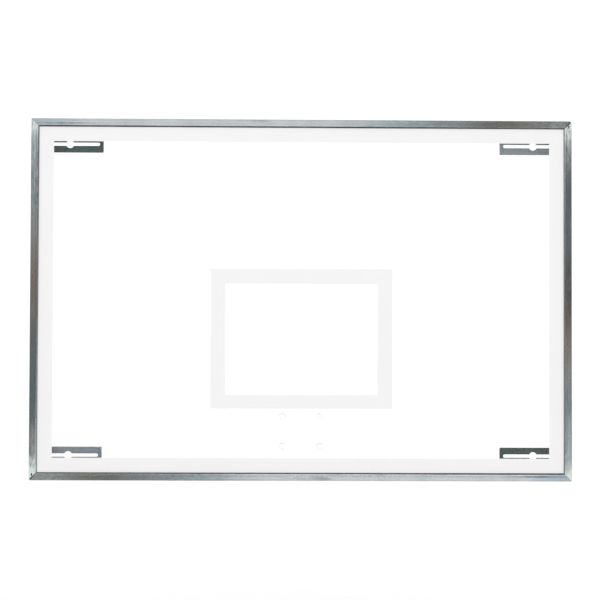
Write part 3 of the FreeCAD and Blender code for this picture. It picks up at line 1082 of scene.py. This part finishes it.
@dataclass
class RailFrame:
    """The mitred aluminium rails with their rubber and corner keys."""

    half_width: float
    half_height: float
    sides: dict[str, tuple[Run, float]] = field(default_factory=lambda: {
        "top": (Run.ACROSS, 1.0), "bottom": (Run.ACROSS, -1.0),
        "left": (Run.UPRIGHT, 1.0), "right": (Run.UPRIGHT, -1.0)})
    # The tinted stretches of each rail, partly tarnish and partly painted reflection patches.
    level_tarnish_and_reflection: tuple[TarnishAndReflection, ...] = (
        TarnishAndReflection(-0.88, 0.16, (0.37, 0.48, 0.54), 0.6),
        TarnishAndReflection(-0.81, 0.14, (0.13, 0.17, 0.20), 0.9, 0.0155),
        TarnishAndReflection(-0.42, 0.27, (0.45, 0.49, 0.50), 0.3),
        TarnishAndReflection(0.36, 0.28, (0.35, 0.435, 0.475), 0.75),
        TarnishAndReflection(0.72, 0.22, (0.40, 0.40, 0.36), 0.8),
    )
    upright_tarnish_and_reflection: tuple[TarnishAndReflection, ...] = (
        TarnishAndReflection(0.42, 0.27, (0.28, 0.34, 0.37), 0.78),
        TarnishAndReflection(0.07, 0.28, (0.60, 0.51, 0.41), 0.8),
        TarnishAndReflection(-0.28, 0.26, (0.45, 0.54, 0.575), 0.7),
    )
    right_tarnish_and_reflection: tuple[TarnishAndReflection, ...] = (
        TarnishAndReflection(-0.03, 0.17, (0.34, 0.32, 0.33), 0.8),
        TarnishAndReflection(0.44, 0.20, (0.34, 0.41, 0.44), 0.5),
    )
    # Where the painted highlights lie at the ends of the level and upright rails.
    level_end_highlights: tuple[EndHighlight, ...] = (EndHighlight(-1.0, 0.10, 0.1), EndHighlight(1.0, 0.32, 0.26))
    upright_end_highlights: tuple[EndHighlight, ...] = (EndHighlight(1.0, 0.085, 1.05), EndHighlight(-1.0, 0.24, 0.42), EndHighlight(-1.0, 0.10, 0.8))
    upright_dusting: float = 0.75
    seed_step: float = 3.7
    corners: tuple[str, ...] = ("top_left", "top_right", "bottom_left", "bottom_right")

    def dress(self) -> None:
        """Give every rail, rubber and key its finish."""
        clean = GlazingRubber("glazing_rubber")
        dusty = GlazingRubber("dusty_rubber", self.upright_dusting)
        cast = CastAluminium("cast_aluminium")
        for number, (side, (run, sense)) in enumerate(self.sides.items()):
            level = run is Run.ACROSS
            spans = (self.half_height, self.half_width) if level else (self.half_width, self.half_height)
            tarnish_and_reflection = self.level_tarnish_and_reflection if level else self.upright_tarnish_and_reflection
            if side == "right":
                tarnish_and_reflection += self.right_tarnish_and_reflection
            end_highlights = self.level_end_highlights if level else self.upright_end_highlights
            dress(f"{side}_rail", DrawnAluminium(
                f"drawn_aluminium_{side}", run, sense, *spans, tarnish_and_reflection, end_highlights,
                open_way=1.0 if level else -1.0, slotted=not level, seed=self.seed_step * (number + 1)))
            dress(f"{side}_gasket", clean if level else dusty)
        for corner in self.corners:
            dress(f"{corner}_corner_key", cast)
            dress(f"{corner}_alignment_key", cast)


@dataclass
class GlassPanel:
    """The glass pane with its white markings and the hoop bushes."""

    bush_bore: float = 13.5 * MILLIMETRE
    bush_edge: float = 0.7 * MILLIMETRE
    bush_node: str = "hoop_bolt_sleeves"

    def dress(self) -> None:
        """Give the pane and the markings their finishes."""
        dress("glass_pane", TemperedGlass("clear_pane"))
        ink = FiredInk("fired_white_ink")
        dress("border_print", ink)
        dress("target_print", ink)

    def build(self, rings: RingForm) -> None:
        """Make the bushes.

        Args:
            rings: The ring tree.
        """
        solids = solids_of(self.bush_node)
        bushes = rings.piece("hoop_bushes", [solid.centre for solid in solids], {
            "Outer diameter": solids[0].size.z, "Bore": self.bush_bore,
            "Length": solids[0].size.y, "Edge radius": self.bush_edge}, TurnedNylon("turned_nylon"))
        hand_over(bushes, "sleeve_nylon", self.bush_node)


class PlateShade(Enum):
    """Painted light and shade on the plates' faces behind the glass: lit and shaded copies of one zinc
    finish, set by corner.
    """

    # Each member: material name, then the painted shaded and lit face colours.
    UPPER_DARK = ("upper_dark_zinc", linear(42, 79, 77), linear(88, 134, 129))
    UPPER_PALE = ("upper_pale_zinc", linear(172, 193, 203), linear(228, 240, 244), 0.28)
    LOWER_DARK = ("lower_dark_zinc", linear(26, 63, 59), linear(64, 112, 105))
    LOWER_PALE = ("lower_pale_zinc", linear(167, 188, 200), linear(224, 235, 241))


@dataclass
class CornerBrackets:
    """The slotted corner plates with their bolts and washers."""

    # Which plate is painted lit and which painted shaded.
    plate_shades: dict[str, PlateShade] = field(default_factory=lambda: {
        "top_left": PlateShade.UPPER_DARK, "top_right": PlateShade.UPPER_PALE,
        "bottom_left": PlateShade.LOWER_PALE, "bottom_right": PlateShade.LOWER_DARK})
    edge_width: float = 0.45 * MILLIMETRE
    edge_segments: int = 2
    edge_angle: float = math.radians(50.0)
    washer_bore: float = 8.5 * MILLIMETRE
    washer_edge: float = 0.35 * MILLIMETRE
    head_height: float = 5.3 * MILLIMETRE
    shank_diameter: float = 8.0 * MILLIMETRE

    def build_plates(self) -> None:
        """Make the plates with eased edges."""
        for corner, tone in self.plate_shades.items():
            node = f"{corner}_bracket"
            mesh = bpy.data.meshes.new(f"{corner}_plate")
            copy = welded(node)
            bmesh.ops.dissolve_limit(copy, angle_limit=FLAT_LIMIT, verts=copy.verts, edges=copy.edges)
            copy.to_mesh(mesh)
            copy.free()
            plate = new_object(f"{corner}_plate", mesh)
            mesh.materials.append(RolledZincSteel(*tone.value).material())
            mesh.shade_smooth()
            mesh.set_sharp_from_angle(angle=SMOOTH_LIMIT)
            bevel = plate.modifiers.new("eased_edges", "BEVEL")
            bevel.width = self.edge_width
            bevel.segments = self.edge_segments
            bevel.limit_method = "ANGLE"
            bevel.angle_limit = self.edge_angle
            bevel.use_clamp_overlap = False
            bevel.harden_normals = True
            hand_over(plate, "bracket_steel", node)

    def build_fasteners(self, rings: RingForm) -> None:
        """Make the bolts and washers.

        Args:
            rings: The ring tree.
        """
        zinc = BrightZinc("bright_zinc")
        bolt_nodes = [f"{corner}_bracket_bolts" for corner in self.plate_shades]
        bolts = [solid for node in bolt_nodes for solid in solids_of(node)]
        seats = [Vector((bolt.centre.x, bolt.high.y - self.head_height, bolt.centre.z)) for bolt in bolts]
        first = bolts[0]
        piece = HexBoltForm().piece("bracket_hex_bolts", seats, {
            "Across flats": min(first.size.x, first.size.z), "Head height": self.head_height,
            "Shank diameter": self.shank_diameter, "Shank length": first.size.y - self.head_height}, zinc)
        hand_over(piece, "fastener_zinc", *bolt_nodes)
        washer_nodes = [f"{corner}_bracket_washers" for corner in self.plate_shades]
        washers = [solid for node in washer_nodes for solid in solids_of(node)]
        piece = rings.piece("bracket_flat_washers", [washer.centre for washer in washers], {
            "Outer diameter": washers[0].size.x, "Bore": self.washer_bore,
            "Length": washers[0].size.y, "Edge radius": self.washer_edge}, zinc)
        hand_over(piece, "fastener_zinc", *washer_nodes)


@dataclass(frozen=True)
class Softbox:
    """One rectangular lamp aimed at a point."""

    name: str
    place: Triple
    aim: Triple
    width: float
    height: float
    radiance: float
    colour: Triple = WHITE

    def build(self) -> None:
        """Put the lamp in the scene, out of the camera's sight."""
        lamp = bpy.data.lights.new(self.name, "AREA")
        lamp.shape = "RECTANGLE"
        lamp.size = self.width
        lamp.size_y = self.height
        lamp.energy = self.radiance * math.pi * self.width * self.height
        lamp.color = self.colour
        made = new_object(self.name, lamp)
        away = Vector(self.place) - Vector(self.aim)
        made.location = self.place
        made.rotation_euler = away.to_track_quat("Z", "Y").to_euler()
        made.visible_camera = False
        made.visible_transmission = False


@dataclass
class Studio:
    """The floor, the surrounding light and the lamps."""

    floor_drop: float = 0.6
    floor_half: float = 30.0
    floor_front: float = -2.0
    floor_colour: Triple = (0.9, 0.9, 0.9)
    floor_lit: float = 0.868
    surround: float = 0.935
    front_dark: float = 0.165
    front_end: float = -0.35
    rear_white: float = 1.0
    rear_start: float = 0.25
    backdrop: float = 1.05
    pane_loss: float = 0.08
    lamps: tuple[Softbox, ...] = (
        Softbox("upper_left_softbox", (-0.528, -4.0, 1.515), (-0.528, 0.0, 1.515), 2.79, 1.574, 1.09),
        Softbox("lower_right_softbox", (0.689, -4.0, -0.951), (0.689, 0.0, -0.951), 2.73, 0.735, 1.38),
    )

    def seen(self, graph: Graph) -> tuple[Value, Value]:
        """Tell what kind of ray meets the backdrop.

        Args:
            graph: The backdrop's node tree.

        Returns:
            The backdrop's strength for a ray that comes straight or through glass, and 1 for a ray that
            last met a mirror-like surface. Each is 0 for other rays.
        """
        path = graph.node("ShaderNodeLightPath").outputs
        mirrored, scattered = Value(graph, path["Glossy Depth"]), Value(graph, path["Diffuse Depth"])
        through = Value(graph, path["Transmission Depth"]).at_most(1.0)
        unbroken = 1.0 - (mirrored + scattered).at_most(1.0)
        straight = unbroken * (self.backdrop + self.pane_loss * through)
        glossy = mirrored.at_most(1.0) * (1.0 - scattered.at_most(1.0))
        return straight, glossy

    def build_world(self) -> None:
        """Make the white surround, darker where mirror-like surfaces look to the front."""
        world = bpy.data.worlds.new("studio_surround")
        world.use_nodes = True
        graph = Graph(world.node_tree)
        direction = graph.node("ShaderNodeTexCoord").outputs["Generated"]
        depth = Value(graph, graph.node("ShaderNodeSeparateXYZ", None, {0: direction}).outputs[1])
        straight, glossy = self.seen(graph)
        mirrored = depth.ramp(self.front_end, self.rear_start, self.front_dark, self.rear_white)
        level = straight + glossy * mirrored + (1.0 - straight - glossy).at_least(0.0) * self.surround
        shade = graph.node("ShaderNodeBackground", None, {"Color": WHITE, "Strength": level})
        graph.node("ShaderNodeOutputWorld", None, {"Surface": shade.outputs[0]})
        bpy.context.scene.world = world

    def build_floor(self, lowest: float) -> None:
        """Make the pale floor below the board.

        Args:
            lowest: The height of the board's bottom edge.
        """
        level = lowest - self.floor_drop
        half, front = self.floor_half, self.floor_front
        outline = [(-half, front, level), (half, front, level), (half, half, level), (-half, half, level)]
        mesh = bpy.data.meshes.new("studio_floor")
        mesh.from_pydata(outline, [], [tuple(range(len(outline)))])
        floor = new_object("studio_floor", mesh)
        finish = bpy.data.materials.new("pale_floor")
        finish.use_nodes = True
        graph = Graph(finish.node_tree)
        straight, _ = self.seen(graph)
        matt = graph.node("ShaderNodeBsdfDiffuse", None, {"Color": self.floor_colour})
        glow = graph.node("ShaderNodeEmission", None, {
            "Color": WHITE, "Strength": (straight - self.floor_lit).at_least(0.0)})
        both = graph.node("ShaderNodeAddShader", None, {0: matt.outputs[0], 1: glow.outputs[0]})
        graph.node("ShaderNodeOutputMaterial", None, {"Surface": both.outputs[0]})
        mesh.materials.append(finish)

    def build(self, lowest: float) -> None:
        """Make everything round the board.

        Args:
            lowest: The height of the board's bottom edge.
        """
        self.build_world()
        self.build_floor(lowest)
        for lamp in self.lamps:
            lamp.build()
            log.info("lit %s", lamp.name)
        bpy.context.scene.view_settings.view_transform = "Standard"


@dataclass
class PhotoCamera:
    """The camera at the photograph's viewing angle."""

    place: Triple = (-0.0667, -4.5, -0.0985)
    yaw: float = math.radians(0.7862)
    pitch: float = math.radians(1.261)
    roll: float = math.radians(-0.2113)
    lens: float = 79.188
    sensor: float = 36.0

    def build(self) -> None:
        """Put the camera in the scene."""
        level_share = math.cos(self.pitch)
        ahead = Vector((math.sin(self.yaw) * level_share, math.cos(self.yaw) * level_share,
                        math.sin(self.pitch)))
        level_right = Vector((math.cos(self.yaw), -math.sin(self.yaw), 0.0))
        level_up = level_right.cross(ahead)
        right = level_right * math.cos(self.roll) - level_up * math.sin(self.roll)
        up = level_right * math.sin(self.roll) + level_up * math.cos(self.roll)
        lens = bpy.data.cameras.new("photo_camera")
        lens.lens = self.lens
        lens.sensor_width = self.sensor
        made = new_object("photo_camera", lens)
        turn = Matrix((right, up, -ahead)).transposed().to_4x4()
        made.matrix_world = Matrix.Translation(self.place) @ turn
        bpy.context.scene.camera = made


def main() -> None:
    """Build and dress the board, then the studio round it."""
    logging.basicConfig(level=logging.INFO, format="%(name)s: %(message)s")
    PhotoCamera().build()
    rings = RingForm()
    RailFrame(cad_high.x, cad_high.z).dress()
    panel = GlassPanel()
    panel.dress()
    panel.build(rings)
    brackets = CornerBrackets()
    brackets.build_plates()
    brackets.build_fasteners(rings)
    Studio().build(cad_low.z)


if __name__ == "__main__":
    main()
